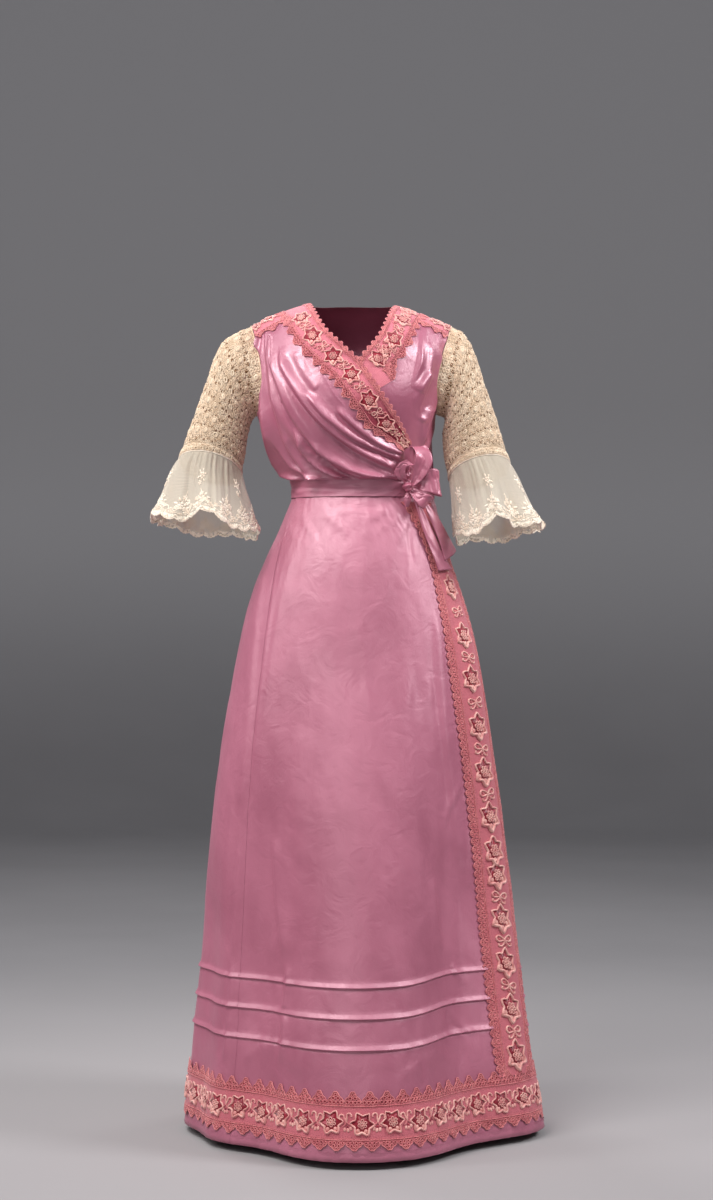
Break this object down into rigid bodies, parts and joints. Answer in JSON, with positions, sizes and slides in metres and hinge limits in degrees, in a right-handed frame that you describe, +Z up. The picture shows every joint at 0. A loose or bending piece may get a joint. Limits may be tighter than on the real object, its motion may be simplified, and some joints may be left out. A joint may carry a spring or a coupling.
{
  "type": "edwardian day dress",
  "caption": "Long silk satin day dress with a draped wrap bodice, lace bands, tucked flared skirt, crochet lace elbow sleeves with net flounces, and a waist bow.",
  "frame": {"origin": "midway between the two shoulder seams, where a wearer's shoulders carry the dress", "axes": "+Z up, the front faces -Y, +X towards the wearer's left"},
  "size_m": [0.672, 0.6138, 1.3896],
  "materials": {
    "satin": "silk satin, soft sheen",
    "pink_lace": "matt embroidered lace",
    "crochet": "matt cotton crochet lace",
    "net": "sheer embroidered net"
  },
  "bodies": {
    "root": {"skirt_front": "satin", "skirt_back": "satin", "waistband": "satin", "bodice_front_right": "satin", "bodice_front_left": "satin", "bodice_back": "satin", "bow_knot": "satin", "bow_loop_top": "satin", "bow_loop_right": "satin", "bow_loop_low": "satin", "bow_loop_left": "satin", "bow_tail_short": "satin", "bow_tail_left": "satin", "bow_tail_right": "satin", "hem_lace": "pink_lace", "front_lace": "pink_lace", "neck_lace_right": "pink_lace", "neck_lace_left": "pink_lace", "neck_lace_back": "pink_lace", "shoulder_lace_right": "pink_lace", "shoulder_lace_left": "pink_lace", "sleeve_right_front": "crochet", "sleeve_right_back": "crochet", "sleeve_left_front": "crochet", "sleeve_left_back": "crochet", "flounce_right": "net", "flounce_left": "net"}
  },
  "joints": []
}
